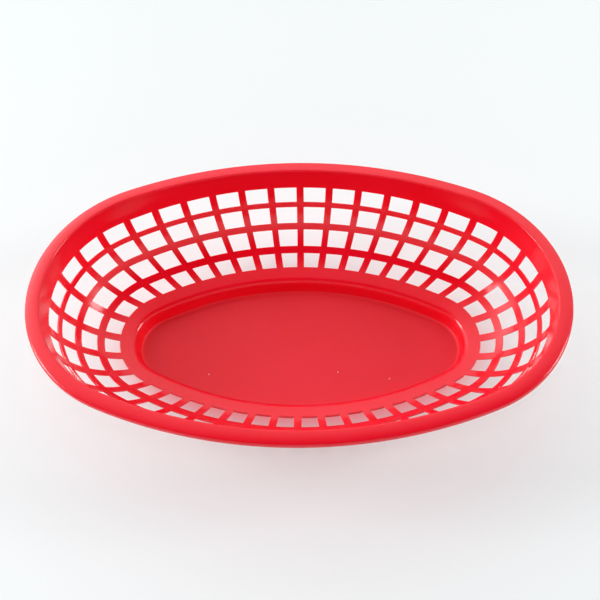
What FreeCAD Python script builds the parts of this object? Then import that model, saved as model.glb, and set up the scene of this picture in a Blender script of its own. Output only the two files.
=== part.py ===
"""Oval fast food basket, injection moulded in one piece.

The plan is an oval of four arcs, two wide ones along the sides and two tight ones round
the ends. Every ring of the basket is parallel to that oval, so the floor, the riser, the
curved wall and the flanged rim all come from one thin section that is turned about the
axes of the four arcs. The wall is then opened by rows of windows, which leave a lattice.

Millimetres, +Z up. The origin is on the table, under the middle of the floor.
"""
import FreeCAD, Part
import math
import os

# Overall size
rim_length = 235.0
rim_width = 147.0
height = 52.2
end_radius = 60.4

# Moulded sheet
wall = 1.3

# Rim, a flange that curves down to an outer corner and a short skirt
flange_rise = 2.0
flange_fall = 22.0
flange_radius = 15.2
skirt = 3.2
skirt_draft = 4.0

# Closed bands above and below the lattice
top_band = 11.4
top_band_draft = 8.4
lower_band = 6.0
lower_band_slope = 9.0

# Sunk floor
riser_draft = 8.0
riser_edge_radius = 2.1
floor_fillet = 1.4

# Lattice, row by row from the top
window_heights = (8.5, 8.2, 8.1, 7.1)
row_slopes = (74.2, 58.1, 41.3, 20.3)
upright_widths = (3.5, 3.3, 3.1, 3.4)
cross_bars = (2.6, 3.3, 3.6)
windows_per_quarter = 10
edge_strip = 1.3

# A window opens by its flare on each side, from the visible face to the hidden one
flare = 0.5
tool_margin = 0.6

# Rounds of the section are walked in flats
flats_per_fillet = 1
flats_per_flange = 2

# Plan oval of the rim's outer edge
half_length = rim_length / 2
half_width = rim_width / 2
end_centre = half_length - end_radius
side_radius = (end_centre ** 2 + half_width ** 2 - end_radius ** 2) / (2 * (half_width - end_radius))
side_centre = side_radius - half_width
side_angle = math.degrees(math.atan2(end_centre, side_centre))
end_angle = 90 - side_angle
ORIGIN = FreeCAD.Vector(0, 0, 0)
UP = FreeCAD.Vector(0, 0, 1)


def point(x, z):
    return FreeCAD.Vector(x, 0, z)


def hidden_side(along):
    """Unit normal of a stretch of the section, towards the lower, hidden face."""
    return point(along.z, -along.x).normalize()


class SheetPath:
    """Walks along the upper face of a moulded sheet. Its lower face is one wall below."""

    def __init__(self, start):
        self.heading = 0
        self.points = [start]
        self.rows = []

    def step(self, length, heading=None):
        if heading is not None:
            self.heading = heading
        turn = math.radians(self.heading)
        self.points.append(self.points[-1] + point(math.cos(turn), math.sin(turn)) * length)

    def bend(self, radius, turn, flats):
        """Flats with their ends on an arc."""
        for flat in range(flats):
            chord = 2 * radius * math.sin(math.radians(abs(turn) / flats / 2))
            self.step(chord, self.heading + turn / flats / 2)
            self.heading += turn / flats / 2

    def lower_point(self, index):
        """The point one wall below a corner of the upper face, on the corner's mitre."""
        here = self.points[index]
        if index == 0:
            return here - UP * wall
        arriving = here - self.points[index - 1]
        leaving = self.points[index + 1] - here if index < len(self.points) - 1 else arriving
        mitre = hidden_side(arriving) + hidden_side(leaving)
        return here + mitre * (2 * wall / mitre.Length ** 2)

    def face(self):
        below = [self.lower_point(index) for index in range(len(self.points))]
        outline = self.points + below[::-1]
        return Part.Face(Part.makePolygon(outline + [outline[0]]))


def row_margins(row):
    """Closed wall above and below a row's windows that belongs to the row's flat stretch."""
    above = cross_bars[row - 1] / 2 if row > 0 else edge_strip
    below = cross_bars[row] / 2 if row < len(cross_bars) else edge_strip
    return above, below


def walk_section(start, riser_length):
    """Floor fillet, riser, lower band, the lattice's rows, top band, flange and skirt."""
    path = SheetPath(start)
    path.bend(floor_fillet, 90 - riser_draft, flats_per_fillet)
    path.step(riser_length, 90 - riser_draft)
    path.bend(riser_edge_radius, lower_band_slope + riser_draft - 90, flats_per_fillet)
    path.step(lower_band - edge_strip, lower_band_slope)
    for row in reversed(range(len(window_heights))):
        above, below = row_margins(row)
        path.step(above + window_heights[row] + below, row_slopes[row])
        path.rows.insert(0, (path.points[-1], path.points[-2]))
    path.step(top_band - edge_strip, 90 - top_band_draft)
    path.heading = flange_rise
    path.bend(flange_radius, -flange_rise - flange_fall, flats_per_flange)
    path.step(skirt, skirt_draft - 90)
    return path


def make_section():
    """The whole section at the right end, with the riser and floor as long as is left."""
    start = point(0, wall)
    probe = walk_section(start, wall)
    missing = height - max(corner.z for corner in probe.points)
    riser_length = wall + missing / math.cos(math.radians(riser_draft))
    trial = walk_section(start, riser_length)
    floor_edge = half_length - max(corner.x for corner in trial.points)
    return walk_section(start + point(floor_edge, 0), riser_length), floor_edge


def turn_quarter(face):
    """A section at the right end, turned into a quarter ring of the oval."""
    end_part = face.revolve(point(end_centre, 0), UP, -end_angle)
    front = face.copy()
    front.translate(point(half_width - half_length, 0))
    front.rotate(ORIGIN, UP, -90)
    side_part = front.revolve(FreeCAD.Vector(0, side_centre, 0), UP, side_angle)
    return end_part.fuse(side_part)


def oval_place(reach, z, share, shift):
    """Point on the ring of a given reach, a shift past a share of the quarter, and its outward way."""
    side = side_radius - half_length + reach
    end = end_radius - half_length + reach
    side_length = side * math.radians(side_angle)
    length = share * (side_length + end * math.radians(end_angle)) + shift
    if length <= side_length:
        plan = length / side - math.pi / 2
        centre = FreeCAD.Vector(0, side_centre, z)
        radius = side
    else:
        plan = (length - side_length) / end - math.radians(end_angle)
        centre = point(end_centre, z)
        radius = end
    outward = FreeCAD.Vector(math.cos(plan), math.sin(plan), 0)
    return centre + outward * radius, outward


def floor_quarter(floor_edge):
    """Flat floor inside the ring where the floor's fillet starts."""
    side_share = side_share_of(floor_edge)
    shares = (0, side_share / 2, side_share, (1 + side_share) / 2, 1)
    front, front_mid, joint, end_mid, tip = [oval_place(floor_edge, 0, share, 0)[0] for share in shares]
    edges = [
        Part.makeLine(ORIGIN, front),
        Part.Arc(front, front_mid, joint).toShape(),
        Part.Arc(joint, end_mid, tip).toShape(),
        Part.makeLine(tip, ORIGIN),
    ]
    return Part.Face(Part.Wire(edges)).extrude(UP * wall)


def side_share_of(reach):
    """Share of a quarter ring that belongs to its wide side arc."""
    side_length = (side_radius - half_length + reach) * side_angle
    return side_length / (side_length + (end_radius - half_length + reach) * end_angle)


def solid_between(upper, lower):
    """Closed solid between two outlines with parallel edges."""
    faces = [Part.Face(Part.makePolygon(outline + [outline[0]])) for outline in (upper, lower)]
    for index in range(len(upper)):
        side = [upper[index - 1], upper[index], lower[index], lower[index - 1]]
        faces.append(Part.Face(Part.makePolygon(side + [side[0]])))
    solid = Part.Solid(Part.Shell(faces))
    if solid.Volume < 0:
        solid.reverse()
    return solid


def window_tool(row, upper, lower, column):
    """Flared window between two heights on a row's flat stretch and two uprights."""
    left = column / windows_per_quarter
    right = (column + 1) / windows_per_quarter
    half_bar = upright_widths[row] / 2
    slant = hidden_side(upper - lower)
    places = ((upper, left, half_bar), (upper, right, -half_bar), (lower, right, -half_bar), (lower, left, half_bar))
    corners = []
    middle = FreeCAD.Vector(0, 0, 0)
    outward = FreeCAD.Vector(0, 0, 0)
    for edge, share, shift in places:
        corner, way = oval_place(edge.x, edge.z, share, shift)
        corners.append(corner)
        middle += corner * (1 / len(places))
        outward += way * slant.x + UP * slant.z
    outward.normalize()
    outlines = []
    for depth in (-tool_margin, wall + tool_margin):
        growth = 1 + 2 * flare * depth / (wall * window_heights[row])
        outlines.append([])
        for corner in corners:
            spread = corner - middle
            spread -= outward * spread.dot(outward)
            outlines[-1].append(middle + spread * growth + outward * depth)
    return solid_between(*outlines)


def window_tools(section):
    """The windows of one quarter, row by row from the top."""
    tools = []
    for row, (top, bottom) in enumerate(section.rows):
        above, below = row_margins(row)
        down = (bottom - top).normalize()
        upper = top + down * above
        lower = bottom - down * below
        for column in range(windows_per_quarter):
            tools.append(window_tool(row, upper, lower, column))
    return tools


def make_basket():
    section, floor_edge = make_section()
    quarter = turn_quarter(section.face()).fuse(floor_quarter(floor_edge)).removeSplitter()
    quarter = quarter.cut(window_tools(section))
    half = quarter.fuse(quarter.mirror(ORIGIN, FreeCAD.Vector(0, 1, 0)))
    whole = half.fuse(half.mirror(ORIGIN, FreeCAD.Vector(1, 0, 0)))
    return whole.removeSplitter()


basket = make_basket()
os.makedirs("parts", exist_ok=True)
basket.Solids[0].exportStep("parts/basket.step")
print("solids", len(basket.Solids), "valid", basket.isValid(), "faces", len(basket.Faces))
print("volume", round(basket.Volume), "box", basket.BoundBox)
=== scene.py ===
"""Oval fast food basket in red gloss plastic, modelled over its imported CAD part.

The visible face is grown ring by ring from the floor's edge to the rim's lip, the windows
are opened in it, and the sheet is then given its thickness and its small round edges.
"""
import math

import bmesh
import bpy
from bpy.props import FloatProperty, FloatVectorProperty, IntProperty, PointerProperty
from bpy.types import Operator, Panel, PropertyGroup
from mathutils import Matrix, Vector


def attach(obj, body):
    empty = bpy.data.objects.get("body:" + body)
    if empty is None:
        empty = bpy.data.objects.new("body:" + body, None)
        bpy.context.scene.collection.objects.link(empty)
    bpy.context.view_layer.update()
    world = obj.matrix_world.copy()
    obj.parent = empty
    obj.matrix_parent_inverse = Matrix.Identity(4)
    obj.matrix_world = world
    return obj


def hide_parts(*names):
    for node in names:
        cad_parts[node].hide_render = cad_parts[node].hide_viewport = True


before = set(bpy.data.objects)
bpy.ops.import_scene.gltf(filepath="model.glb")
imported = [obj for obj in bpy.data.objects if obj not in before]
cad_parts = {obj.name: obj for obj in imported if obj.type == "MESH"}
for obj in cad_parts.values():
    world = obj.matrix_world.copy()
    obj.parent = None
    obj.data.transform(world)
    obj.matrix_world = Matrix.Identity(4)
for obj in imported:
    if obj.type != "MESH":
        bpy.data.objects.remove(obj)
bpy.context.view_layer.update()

bl_info = {
    "name": "Fast food basket",
    "version": (1, 0, 0),
    "blender": (4, 5, 0),
    "location": "View3D > Sidebar > Basket",
    "description": "Models an oval lattice basket and the stage that it stands on",
    "category": "Add Mesh",
}

# Segments that the mesh is drawn with
BAY_STEPS = 4
UPRIGHT_STEPS = 2
WINDOW_STEPS = 4
BAR_STEPS = 2
FILLET_STEPS = 5
RISER_EDGE_STEPS = 6
TOP_BAND_STEPS = 5
FLANGE_STEPS = 7
FLAT_STEPS = 2

# Edges that bend by more than these angles are rounded
RIM_BEND = math.radians(50)
MOULDED_BEND = math.radians(30)

# How far under the lowest windows the hidden edges are still rounded, in walls
ROUNDED_BELOW = 0.8

# Points whose heights differ by less lie on one ring
LEVEL = 1e-6


def length(name, description, default):
    return FloatProperty(
        name=name, description=description, default=default, min=0, precision=5,
        subtype="DISTANCE", unit="LENGTH"
    )


def lengths(name, description, default):
    return FloatVectorProperty(
        name=name, description=description, default=default, size=len(default), min=0, precision=5,
        unit="LENGTH"
    )


def angle(name, description, degrees):
    return FloatProperty(
        name=name, description=description, default=math.radians(degrees), subtype="ANGLE", unit="ROTATION"
    )


def colour(name, description, default):
    return FloatVectorProperty(
        name=name, description=description, default=default, size=3, min=0, max=1, subtype="COLOR"
    )


def share(name, description, default):
    return FloatProperty(name=name, description=description, default=default, min=0, max=1, subtype="FACTOR")


def strength(name, description, default, unit="NONE"):
    return FloatProperty(name=name, description=description, default=default, min=0, unit=unit)


class BasketShape(PropertyGroup):
    """Sizes of the moulded basket."""

    rim_length: length("Rim length", "Length over the rim", 0.235)
    height: length("Height", "From the table to the top of the rim", 0.0522)
    wall: length("Wall", "Thickness of the moulded sheet", 0.0013)
    edge_round: length("Edge round", "Small round along every moulded edge", 0.00022)
    outside_round: length("Outside round", "Round of the bars on their hidden side", 0.00105)
    rim_round: length("Rim round", "Round along the rim's crease and its outer corner", 0.0006)
    flange_rise: angle("Flange rise", "Upward slope of the rim's flange at its crease", 2)
    flange_fall: angle("Flange fall", "Downward slope of the flange at its outer corner", 22)
    flange_radius: length("Flange radius", "Gentle crown of the flange", 0.0152)
    skirt: length("Skirt", "Height of the rim's straight skirt", 0.0018)
    skirt_draft: angle("Skirt draft", "Outward lean of the skirt", 4)
    bowl_radius: length("Bowl radius", "Radius of the curved wall's section", 0.0388)
    wall_draft: angle("Wall draft", "Lean of the top band", 8.4)
    top_band: length("Top band", "Closed band between the first windows and the rim", 0.0114)
    lower_band: length("Lower band", "Closed band below the last windows", 0.0053)
    band_slope: angle("Lower band slope", "Slope of the closed band below the last windows", 16)
    riser_draft: angle("Riser draft", "Lean of the riser round the floor", 8)
    riser_edge_radius: length("Riser edge", "Round at the top of the riser", 0.0036)
    floor_fillet: length("Floor fillet", "Round at the foot of the riser", 0.0014)
    columns: IntProperty(
        name="Columns", description="Windows in a row, a multiple of four", default=40, min=4, step=4
    )
    first_row: angle("First row", "Upper edge of the first row, below level", 9.2)
    windows: lengths("Windows", "Heights of the rows, from the top", (0.0085, 0.0082, 0.0081, 0.0071))
    bars: lengths("Cross bars", "Bars between the rows, from the top", (0.0026, 0.0033, 0.0036))
    uprights: lengths("Uprights", "Widths of the uprights in each row", (0.0035, 0.0033, 0.0031, 0.0034))
    wall_narrowing: length("Wall narrowing", "Half length less half width of the wall's ovals", 0.04342)
    wall_end_centre: length("Wall end centre", "From the middle to the wall's end arcs", 0.05875)
    rim_narrowing: length("Rim narrowing", "Half length less half width of the rim's ovals", 0.04444)
    rim_end_centre: length("Rim end centre", "From the middle to the rim's end arcs", 0.05615)
    rim_sag: length("Rim sag", "How far the rim sags at the two ends", 0.0008)


class BasketFinish(PropertyGroup):
    """Look of the moulded plastic."""

    red: colour("Red", "Colour of the plastic", (0.86, 0.0048, 0.019))
    pale_red: colour("Pale red", "Colour where the plastic is a little paler", (0.88, 0.007, 0.026))
    patch_size: length("Patch size", "Size of the paler patches", 0.045)
    gloss: share("Gloss", "Roughness of the polished wall and rim", 0.15)
    satin: share("Satin", "Roughness of the fine-grained floor panel", 0.55)
    haze: share("Haze", "How much the roughness varies", 0.04)
    haze_size: length("Haze size", "Size of the duller patches", 0.012)
    ripple: share("Ripple", "Depth of the moulding's ripples, in millimetres", 0.10)
    ripple_size: length("Ripple size", "Size of the moulding's ripples", 0.009)
    grain: share("Grain", "Depth of the floor panel's grain, in millimetres", 0.012)
    grain_size: length("Grain size", "Size of the floor panel's grain", 0.0005)
    gate: share("Gate mark", "Depth of the ring round the gate mark, in millimetres", 0.12)
    spread: share("Light spread", "Share of the light that spreads inside the plastic", 0.6)
    spread_depth: length("Spread depth", "How far it spreads, where its colour is white", 0.004)
    spread_colour: colour("Spread colour", "Colour that the light takes as it spreads", (1.0, 0.06, 0.05))
    dust: colour("Dust", "Colour of the few specks on the floor panel", (0.86, 0.62, 0.58))
    dust_spacing: length("Dust spacing", "Distance between the places where a speck may lie", 0.021)
    dust_radius: length("Dust radius", "Radius of a speck", 0.000294)
    dust_bare: share("Bare places", "Share of those places that have no speck", 0.7)


class StageLight(PropertyGroup):
    """The table and the light."""

    floor: colour("Floor", "Colour of the table", (0.90, 0.925, 0.925))
    floor_dull: share("Table roughness", "Least roughness of the table", 0.42)
    floor_haze: share("Table haze", "How much the table's roughness varies", 0.06)
    floor_haze_size: length("Table haze size", "Size of the table's duller patches", 0.2)
    glow: share("Glow", "Share of the table's white that shadows leave as it is", 0.3)
    foot: lengths("Foot", "Half the length and half the width of the basket's foot", (0.0755, 0.036))
    foot_red: colour("Foot red", "Red light on the table next to the foot", (1.0, 0.3, 0.35))
    foot_glow: share("Foot glow", "Share of the table's colour next to the foot that is this light", 0.6)
    horizon: strength("Horizon", "White surroundings beside the table", 0.95)
    front_fill: strength("Front fill", "More of them low on the camera's side", 0.6)
    overhead: strength("Overhead", "Surroundings overhead, at the back", 1.25)
    window: strength("Window", "Broad light at the back left", 2.3)
    left_power: strength("Left lamp", "Power of the left softbox", 5.5, "POWER")
    right_power: strength("Right lamp", "Power of the right softbox", 4.15, "POWER")


class Section:
    """Walks up the visible face of the sheet at the basket's right end."""

    def __init__(self, reach, height):
        self.heading = 0.0
        self.reach = reach
        self.height = height
        self.rings = [(reach, height)]
        self.windows = []

    def straight(self, distance, steps):
        for _ in range(steps):
            self.reach += math.cos(self.heading) * distance / steps
            self.height += math.sin(self.heading) * distance / steps
            self.rings.append((self.reach, self.height))

    def arc(self, radius, turn, steps):
        for _ in range(steps):
            self.heading += turn / steps / 2
            chord = 2 * radius * math.sin(abs(turn) / steps / 2)
            self.reach += math.cos(self.heading) * chord
            self.height += math.sin(self.heading) * chord
            self.heading += turn / steps / 2
            self.rings.append((self.reach, self.height))

    def window_row(self, radius, turn, steps):
        first = len(self.rings) - 1
        self.arc(radius, turn, steps)
        self.windows.append(range(first, first + steps))


def walk_section(shape, reach, riser):
    """Floor fillet, riser, lower band, curved wall with its rows of windows, top band and rim."""
    section = Section(reach, shape.wall)
    windows = list(shape.windows)
    bars = list(shape.bars)
    section.arc(shape.floor_fillet, math.pi / 2 - shape.riser_draft, FILLET_STEPS)
    section.straight(riser, FLAT_STEPS)
    section.arc(shape.riser_edge_radius, shape.band_slope - section.heading, RISER_EDGE_STEPS)
    section.straight(shape.lower_band, FLAT_STEPS)
    bowl_turn = (sum(windows[:-1]) + sum(bars)) / shape.bowl_radius
    lowest_turn = math.pi / 2 - shape.first_row - bowl_turn - shape.band_slope
    section.window_row(windows.pop() / lowest_turn, lowest_turn, WINDOW_STEPS)
    while windows:
        section.arc(shape.bowl_radius, bars.pop() / shape.bowl_radius, BAR_STEPS)
        section.window_row(shape.bowl_radius, windows.pop() / shape.bowl_radius, WINDOW_STEPS)
    section.wall_top = len(section.rings) - 1
    section.heading = math.pi / 2 - shape.wall_draft
    section.straight(shape.top_band, TOP_BAND_STEPS)
    section.crease = len(section.rings) - 1
    section.heading = shape.flange_rise
    section.arc(shape.flange_radius, -shape.flange_rise - shape.flange_fall, FLANGE_STEPS)
    section.heading = shape.skirt_draft - math.pi / 2
    section.straight(shape.skirt, FLAT_STEPS)
    return section


def basket_section(shape):
    """The section with the riser and the floor as long as the whole size leaves for them."""
    probe = walk_section(shape, 0, shape.wall)
    missing = shape.height - max(height for _, height in probe.rings)
    riser = shape.wall + missing / math.cos(shape.riser_draft)
    trial = walk_section(shape, 0, riser)
    floor_edge = shape.rim_length / 2 - max(reach for reach, _ in trial.rings)
    return walk_section(shape, floor_edge, riser)


def oval_places(reach, height, narrowing, end_centre, columns, half_upright):
    """Places round one oval ring, with the uprights spaced evenly along it."""
    half_width = reach - narrowing
    end_radius = reach - end_centre
    side_radius = (end_centre ** 2 + half_width ** 2 - end_radius ** 2) / (2 * (half_width - end_radius))
    side_centre = side_radius - half_width
    side_turn = math.atan2(end_centre, side_centre)
    side_length = side_radius * side_turn
    quarter = side_length + end_radius * (math.pi / 2 - side_turn)
    column = 4 * quarter / columns
    bay = column - 2 * half_upright
    offsets = [half_upright * (2 * step / UPRIGHT_STEPS - 1) for step in range(UPRIGHT_STEPS)]
    offsets += [half_upright + bay * step / BAY_STEPS for step in range(BAY_STEPS)]
    places = []
    for number in range(columns):
        for offset in offsets:
            walked = (number * column + offset) % (4 * quarter)
            turn, along = divmod(walked, quarter)
            along = quarter - along if turn % 2 else along
            if along <= side_length:
                x = side_radius * math.sin(along / side_radius)
                y = side_centre - side_radius * math.cos(along / side_radius)
            else:
                tip = math.pi / 2 - side_turn - (along - side_length) / end_radius
                x = end_centre + end_radius * math.cos(tip)
                y = -end_radius * math.sin(tip)
            right = turn < 2
            front = turn in (0, 3)
            places.append(Vector((x if right else -x, y if front else -y, height)))
    return places


def ring_places(shape, section):
    """The places of every ring. The rim's ovals differ a little from the wall's."""
    rings = []
    for number, (reach, height) in enumerate(section.rings):
        beside = [row for row, levels in enumerate(section.windows) if number >= levels[0]]
        upright = shape.uprights[-1 - max(beside, default=0)]
        rise = min(max((number - section.wall_top) / (section.crease - section.wall_top), 0), 1)
        rise = rise * rise * (3 - 2 * rise)
        narrowing = shape.wall_narrowing + (shape.rim_narrowing - shape.wall_narrowing) * rise
        end_centre = shape.wall_end_centre + (shape.rim_end_centre - shape.wall_end_centre) * rise
        places = oval_places(reach, height, narrowing, end_centre, shape.columns, upright / 2)
        for place in places:
            place.z -= shape.rim_sag * rise * (place.x / reach) ** 2
        rings.append(places)
    return rings


def edit_mesh(piece):
    mesh = bmesh.from_edit_mesh(piece.data)
    mesh.verts.ensure_lookup_table()
    mesh.verts.index_update()
    return mesh


def grow_ring(piece, ring, places):
    """Extrudes the selected ring of edges and moves each new vertex to its place."""
    bpy.ops.mesh.extrude_edges_indiv()
    mesh = edit_mesh(piece)
    spots = {tuple(mesh.verts[index].co): spot for spot, index in enumerate(ring)}
    grown = [0] * len(ring)
    for vertex in mesh.verts:
        if vertex.select:
            spot = spots[tuple(vertex.co)]
            vertex.co = places[spot]
            grown[spot] = vertex.index
    bmesh.update_edit_mesh(piece.data)
    return grown


def close_floor(piece, ring, inset):
    """Fills the first ring with the floor panel and insets it, so that its middle stays flat."""
    bpy.ops.mesh.select_all(action="DESELECT")
    mesh = edit_mesh(piece)
    for index in ring:
        mesh.verts[index].select = True
    mesh.select_flush(True)
    bmesh.update_edit_mesh(piece.data)
    bpy.ops.mesh.edge_face_add()
    bpy.ops.mesh.inset(thickness=inset)


def open_windows(piece, section, rings):
    """Selects the faces between the uprights in each row, by their place, and deletes them."""
    home = {index: (level, spot) for level, ring in enumerate(rings) for spot, index in enumerate(ring)}
    rows = {level for windows in section.windows for level in windows}
    per_column = UPRIGHT_STEPS + BAY_STEPS
    bpy.ops.mesh.select_mode(type="FACE")
    bpy.ops.mesh.select_all(action="DESELECT")
    mesh = edit_mesh(piece)
    for face in mesh.faces:
        corners = [home[vertex.index] for vertex in face.verts if vertex.index in home]
        levels = [level for level, _ in corners]
        if len(corners) < 4 or min(levels) not in rows or min(levels) == max(levels):
            continue
        spots = {spot % per_column for _, spot in corners}
        face.select = not spots <= set(range(UPRIGHT_STEPS + 1))
    bmesh.update_edit_mesh(piece.data)
    bpy.ops.mesh.delete(type="FACE")


def face_up(piece):
    """Points every face to the visible side, which is up on the floor panel."""
    bpy.ops.mesh.select_all(action="SELECT")
    bpy.ops.mesh.normals_make_consistent(inside=False)
    mesh = edit_mesh(piece)
    panel = min(mesh.faces, key=lambda face: face.calc_center_median().length)
    if panel.normal.z < 0:
        bpy.ops.mesh.flip_normals()


def round_outside(piece, visible, width, lowest):
    """Rounds the windows' edges and the lip on the hidden side, except those below a lowest height."""
    bpy.ops.object.mode_set(mode="EDIT")
    bpy.ops.mesh.select_mode(type="EDGE")
    bpy.ops.mesh.select_all(action="DESELECT")
    mesh = edit_mesh(piece)
    for edge in mesh.edges:
        hidden = all(vertex.index >= visible for vertex in edge.verts)
        hidden = hidden and max(vertex.co.z for vertex in edge.verts) > lowest
        through = any(vertex.index < visible for face in edge.link_faces for vertex in face.verts)
        edge.select = hidden and through
    bmesh.update_edit_mesh(piece.data)
    bpy.ops.mesh.bevel(offset=width, segments=3, clamp_overlap=True)
    bpy.ops.object.mode_set(mode="OBJECT")


def round_rim(piece, visible, width):
    """Rounds the two sharp bends of the visible side, at the rim's crease and outer corner."""
    bpy.ops.object.mode_set(mode="EDIT")
    bpy.ops.mesh.select_all(action="DESELECT")
    mesh = edit_mesh(piece)
    for edge in mesh.edges:
        seen = all(vertex.index < visible for face in edge.link_faces for vertex in face.verts)
        edge.select = seen and edge.calc_face_angle(0) > RIM_BEND
    bmesh.update_edit_mesh(piece.data)
    bpy.ops.mesh.bevel(offset=width, segments=3)
    bpy.ops.object.mode_set(mode="OBJECT")


def apply_modifier(kind, settings):
    bpy.ops.object.modifier_add(type=kind)
    modifier = bpy.context.object.modifiers[-1]
    for name, setting in settings.items():
        setattr(modifier, name, setting)
    bpy.ops.object.modifier_apply(modifier=modifier.name)


def finish_part(piece, body, finish):
    piece.data.materials.clear()
    piece.data.materials.append(finish)
    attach(piece, body)


def grow_sheet(piece, section, places, inset):
    """Grows the visible face ring by ring, opens the windows in it and closes its floor."""
    bpy.ops.object.mode_set(mode="EDIT")
    mesh = edit_mesh(piece)
    for vertex, place in zip(mesh.verts, places[0]):
        vertex.co = place
    bmesh.update_edit_mesh(piece.data)
    rings = [list(range(len(places[0])))]
    for level in places[1:]:
        rings.append(grow_ring(piece, rings[-1], level))
    open_windows(piece, section, rings)
    bpy.ops.mesh.select_mode(type="VERT")
    mesh = edit_mesh(piece)
    lowest = min(vertex.co.z for vertex in mesh.verts)
    first = [vertex.index for vertex in mesh.verts if vertex.co.z - lowest < LEVEL]
    close_floor(piece, first, inset)
    face_up(piece)
    bpy.ops.object.mode_set(mode="OBJECT")


def thicken(piece, section, shape):
    """Gives the sheet its wall on the hidden side, and rounds its edges."""
    visible = len(piece.data.vertices)
    apply_modifier("SOLIDIFY", {"thickness": shape.wall, "offset": -1, "use_even_offset": True})
    lowest_window = section.rings[section.windows[0][0]][1]
    round_outside(piece, visible, shape.outside_round, lowest_window - ROUNDED_BELOW * shape.wall)
    round_rim(piece, visible, shape.rim_round)
    sharp = {"limit_method": "ANGLE", "angle_limit": MOULDED_BEND}
    apply_modifier("BEVEL", {"width": shape.edge_round, "segments": 2, **sharp})
    bpy.ops.object.shade_smooth()
    apply_modifier("WEIGHTED_NORMAL", {"mode": "FACE_AREA", "weight": 60})


class BASKET_OT_mould(Operator):
    """Model the one-piece basket over its CAD part"""

    bl_idname = "basket.mould"
    bl_label = "Mould the basket"

    def execute(self, context):
        shape = context.scene.basket_shape
        section = basket_section(shape)
        places = ring_places(shape, section)
        bpy.ops.object.select_all(action="DESELECT")
        bpy.ops.mesh.primitive_circle_add(vertices=len(places[0]), radius=section.rings[0][0])
        piece = context.object
        piece.name = "moulded_basket"
        piece.data.name = "moulded_basket"
        grow_sheet(piece, section, places, shape.floor_fillet / 2)
        thicken(piece, section, shape)
        finish_part(piece, "root", red_plastic(context.scene.basket_finish))
        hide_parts("basket")
        return {"FINISHED"}


class Varying:
    """A number that varies over a surface. Arithmetic on it adds Math nodes."""

    def __init__(self, finish, socket):
        self.finish = finish
        self.socket = socket

    def work(self, operation, first, second):
        return self.finish.node("ShaderNodeMath", {"operation": operation}, {0: first, 1: second})

    def __add__(self, other):
        return self.work("ADD", self, other)

    __radd__ = __add__

    def __mul__(self, other):
        return self.work("MULTIPLY", self, other)

    __rmul__ = __mul__

    def __sub__(self, other):
        return self.work("SUBTRACT", self, other)

    def __rsub__(self, other):
        return self.work("SUBTRACT", other, self)

    def __lt__(self, other):
        return self.work("LESS_THAN", self, other)

    def __gt__(self, other):
        return self.work("GREATER_THAN", self, other)

    def __pow__(self, other):
        return self.work("POWER", self, other)


class Finish:
    """The nodes of a procedural material, or of the world."""

    def __init__(self, owner):
        owner.use_nodes = True
        self.owner = owner
        self.tree = owner.node_tree
        self.tree.nodes.clear()

    def node(self, kind, settings=None, sockets=None, output=0):
        """Adds a node, sets it up, fills its sockets and returns one of its outputs."""
        node = self.tree.nodes.new(kind)
        for name, setting in (settings or {}).items():
            setattr(node, name, setting)
        for name, value in (sockets or {}).items():
            if isinstance(value, Varying):
                self.tree.links.new(value.socket, node.inputs[name])
            else:
                node.inputs[name].default_value = value
        return Varying(self, node.outputs[output]) if node.outputs else node

    def vectors(self, operation, values, output="Vector"):
        """Vector maths on one or two vectors. Its output Value is a number."""
        return self.node("ShaderNodeVectorMath", {"operation": operation}, dict(enumerate(values)), output)

    def noise(self, place, size, detail=2.0):
        return self.node("ShaderNodeTexNoise", {}, {"Vector": place, "Scale": 1 / size, "Detail": detail})

    def ramp(self, value, low, high):
        """0 below low and 1 above high, with a soft step between them."""
        settings = {"interpolation_type": "SMOOTHSTEP"}
        return self.node("ShaderNodeMapRange", settings, {"Value": value, "From Min": low, "From Max": high})

    def blend(self, factor, first, second):
        settings = {"data_type": "RGBA"}
        return self.node("ShaderNodeMix", settings, {0: factor, 6: first, 7: second}, output=2)

    def show(self, surface):
        self.node("ShaderNodeOutputMaterial", {}, {"Surface": surface})
        return self.owner


def solid(rgb):
    return (*rgb, 1.0)


# Values of the noise between which a paler patch comes in
PATCH_EDGE = (0.35, 0.7)

# Heights up the floor's fillet where the satin floor panel fades out
PANEL_EDGE = (0.00175, 0.0021)

# The depths of ripples, grain and gate mark are given in it
MILLIMETRE = 0.001

# Middle of the gate mark, and the radii between which its ring rises and falls
GATE_PLACE = (0.0003, 0.0022, 0.0017)
GATE_RISE = (0.0014, 0.0017)
GATE_FALL = (0.0018, 0.0021)


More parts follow.
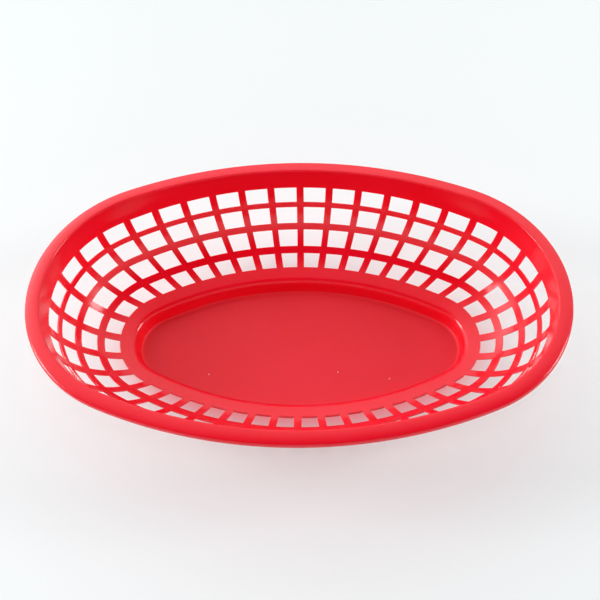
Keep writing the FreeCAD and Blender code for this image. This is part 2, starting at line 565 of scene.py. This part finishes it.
def red_plastic(look):
    """Polished red plastic, with a satin floor panel, a gate mark and a few specks of dust."""
    finish = Finish(bpy.data.materials.new("red_plastic"))
    place = finish.node("ShaderNodeTexCoord", output="Object")
    height = finish.node("ShaderNodeSeparateXYZ", {}, {"Vector": place}, output="Z")
    panel = 1 - finish.ramp(height, *PANEL_EDGE)
    patches = finish.ramp(finish.noise(place, look.patch_size), *PATCH_EDGE)
    red = finish.blend(patches, solid(look.red), solid(look.pale_red))
    mirrored = finish.vectors("MULTIPLY", (place, (1, -1, 1)))
    spots = {"Vector": mirrored, "Scale": 1 / look.dust_spacing, "Randomness": 1.0}
    flat = {"voronoi_dimensions": "2D"}
    speck = finish.node("ShaderNodeTexVoronoi", flat, spots) < look.dust_radius / look.dust_spacing
    chance = finish.node("ShaderNodeTexVoronoi", flat, spots, output="Color")
    picked = finish.node("ShaderNodeSeparateColor", {}, {"Color": chance}) > look.dust_bare
    base = finish.blend(speck * picked * panel, red, solid(look.dust))
    haze = (finish.noise(place, look.haze_size) - 0.5) * look.haze
    roughness = look.gloss + panel * (look.satin - look.gloss) + haze
    ripple = finish.noise(place, look.ripple_size, detail=1.0) * look.ripple
    grain = finish.noise(place, look.grain_size, detail=3.0) * panel * look.grain
    gate = finish.vectors("DISTANCE", (place, GATE_PLACE), "Value")
    ring = finish.ramp(gate, *GATE_RISE) - finish.ramp(gate, *GATE_FALL)
    relief = grain + ripple - ring * panel * look.gate
    bump = finish.node("ShaderNodeBump", {}, {"Strength": 1.0, "Distance": MILLIMETRE, "Height": relief})
    shader = finish.node(
        "ShaderNodeBsdfPrincipled",
        {},
        {
            "Base Color": base,
            "Roughness": roughness,
            "IOR": 1.5,
            "Normal": bump,
            "Subsurface Weight": look.spread,
            "Subsurface Radius": look.spread_colour,
            "Subsurface Scale": look.spread_depth,
        },
    )
    return finish.show(shader)


# Ovals round the basket, in sizes of its foot, between which the red light on the table fades to white
FOOT_FADE = (1, 1.3)


def table_top(look):
    """Smooth pale board. A share of it glows, red by the basket's foot, which lightens the shadow."""
    finish = Finish(bpy.data.materials.new("table_top"))
    place = finish.node("ShaderNodeTexCoord", output="Object")
    roughness = look.floor_dull + finish.noise(place, look.floor_haze_size) * look.floor_haze
    board = finish.node(
        "ShaderNodeBsdfPrincipled", {}, {"Base Color": solid(look.floor), "Roughness": roughness, "IOR": 1.45}
    )
    straight = finish.node("ShaderNodeLightPath", output="Is Camera Ray")
    seen = straight + finish.node("ShaderNodeLightPath", output="Is Glossy Ray")
    oval = finish.vectors("DIVIDE", (place, (*look.foot, 1)))
    reach = finish.vectors("LENGTH", (oval,), "Value")
    away = finish.ramp(reach, *FOOT_FADE)
    red = finish.node("ShaderNodeEmission", {}, {"Color": solid(look.foot_red), "Strength": 1.0})
    white = finish.node("ShaderNodeEmission", {}, {"Color": solid(look.floor), "Strength": 1.0})
    light = finish.node("ShaderNodeMixShader", {}, {0: away, 1: red, 2: white})
    glow = seen * (look.foot_glow + away * (look.glow - look.foot_glow))
    return finish.show(finish.node("ShaderNodeMixShader", {}, {0: glow, 1: board, 2: light}))


# Ways from the basket to the bright half of the room and to the broad light in it
BRIGHT_WAY = Vector((-0.25, 0.97, 0)).normalized()
WINDOW_WAY = Vector((-0.8, 0.54, 0.26)).normalized()
WINDOW_FOCUS = 9.5

# Sines of the heights, and cosines of the ways round, between which each part of the room comes in
OVERHEAD_RISE = (0.1, 0.8)
SIDES_RISE = (-0.1, 0.4)
FRONT_DEPTH = (-0.1, -0.8)
BACK_DEPTH = (-0.3, 0.6)
ROOM_WHITE = (0.95, 0.98, 1.0)


def surroundings(look):
    """White room, dark above the camera, with a broad window at the back left. The camera sees it plain."""
    world = bpy.data.worlds.new("white_surroundings")
    finish = Finish(world)
    way = finish.node("ShaderNodeTexCoord", output="Generated")
    depth = finish.vectors("DOT_PRODUCT", (way, BRIGHT_WAY), "Value")
    rise = finish.node("ShaderNodeSeparateXYZ", {}, {"Vector": way}, output="Z")
    towards = finish.vectors("DOT_PRODUCT", (way, WINDOW_WAY), "Value")
    high = finish.ramp(rise, *OVERHEAD_RISE)
    low = (1 - high) * finish.ramp(rise, *SIDES_RISE)
    sides = low * (look.horizon + look.front_fill * finish.ramp(depth, *FRONT_DEPTH))
    above = look.overhead * high * finish.ramp(depth, *BACK_DEPTH)
    room = sides + above + look.window * towards ** WINDOW_FOCUS
    seen = finish.node("ShaderNodeLightPath", output="Is Camera Ray")
    light = room * (1 - seen) + seen
    glow = finish.node("ShaderNodeBackground", {}, {"Color": solid(ROOM_WHITE), "Strength": light})
    finish.node("ShaderNodeOutputWorld", {}, {"Surface": glow})
    return world


# Where each softbox stands, how large it is and what both point at
LEFT_SOFTBOX = (Vector((-1.0, 0.0, 0.62)), 0.36)
RIGHT_SOFTBOX = (Vector((1.0, 0.08, 0.6)), 0.33)
SOFTBOX_AIM = Vector((0, 0, 0.03))


def softbox(name, place, size, power):
    bpy.ops.object.light_add(type="AREA", location=place)
    lamp = bpy.context.object
    lamp.name = name
    lamp.data.shape = "SQUARE"
    lamp.data.size = size
    lamp.data.energy = power
    lamp.rotation_euler = (SOFTBOX_AIM - place).to_track_quat("-Z", "Y").to_euler()


# The photograph's viewpoint, the camera's right and up ways there, and its lens in millimetres
VIEWPOINT = Vector((0.010703, -0.212491, 0.361007))
VIEW_RIGHT = Vector((0.99967863, 0.01413595, -0.02104293))
VIEW_UP = Vector((-0.00008128, 0.83187401, 0.55496452))
LENS = 52.48
SENSOR_WIDTH = 36


def photograph_camera(scene):
    bpy.ops.object.camera_add()
    camera = bpy.context.object
    camera.name = "photograph_camera"
    camera.data.lens = LENS
    camera.data.sensor_width = SENSOR_WIDTH
    camera.data.clip_start = 0.01
    turn = Matrix((VIEW_RIGHT, VIEW_UP, VIEW_RIGHT.cross(VIEW_UP))).transposed().to_4x4()
    camera.matrix_world = Matrix.Translation(VIEWPOINT) @ turn
    scene.camera = camera


# The table, which lies just under the basket
TABLE_SIZE = 4
TABLE_GAP = 0.0002


class BASKET_OT_stage(Operator):
    """Set up the floor, the surroundings, the softboxes and the camera"""

    bl_idname = "basket.stage"
    bl_label = "Set the stage"

    def execute(self, context):
        scene = context.scene
        look = scene.stage_light
        bpy.ops.object.select_all(action="DESELECT")
        bpy.ops.mesh.primitive_plane_add(size=TABLE_SIZE, location=(0, 0, 0))
        floor = context.object
        floor.name = "table_top"
        bpy.ops.object.mode_set(mode="EDIT")
        bpy.ops.mesh.select_all(action="SELECT")
        bpy.ops.transform.translate(value=(0, 0, -TABLE_GAP))
        bpy.ops.object.mode_set(mode="OBJECT")
        floor.data.materials.append(table_top(look))
        softbox("left_softbox", *LEFT_SOFTBOX, look.left_power)
        softbox("right_softbox", *RIGHT_SOFTBOX, look.right_power)
        scene.world = surroundings(look)
        scene.view_settings.view_transform = "Standard"
        photograph_camera(scene)
        return {"FINISHED"}


class BASKET_PT_panel(Panel):
    """Lists the basket's steps in the sidebar"""

    bl_idname = "BASKET_PT_panel"
    bl_label = "Fast food basket"
    bl_space_type = "VIEW_3D"
    bl_region_type = "UI"
    bl_category = "Basket"

    def draw(self, context):
        scene = context.scene
        for operator in STEPS:
            self.layout.operator(operator.bl_idname)
        for values in (scene.basket_shape, scene.basket_finish, scene.stage_light):
            box = self.layout.box()
            for name in values.__annotations__:
                box.prop(values, name)


STEPS = (BASKET_OT_mould, BASKET_OT_stage)
CLASSES = (BasketShape, BasketFinish, StageLight, *STEPS, BASKET_PT_panel)


def register():
    for kind in CLASSES:
        bpy.utils.register_class(kind)
    bpy.types.Scene.basket_shape = PointerProperty(type=BasketShape)
    bpy.types.Scene.basket_finish = PointerProperty(type=BasketFinish)
    bpy.types.Scene.stage_light = PointerProperty(type=StageLight)


def unregister():
    del bpy.types.Scene.basket_shape
    del bpy.types.Scene.basket_finish
    del bpy.types.Scene.stage_light
    for kind in reversed(CLASSES):
        bpy.utils.unregister_class(kind)


def main():
    register()
    bpy.ops.basket.mould()
    bpy.ops.basket.stage()


if __name__ == "__main__":
    main()
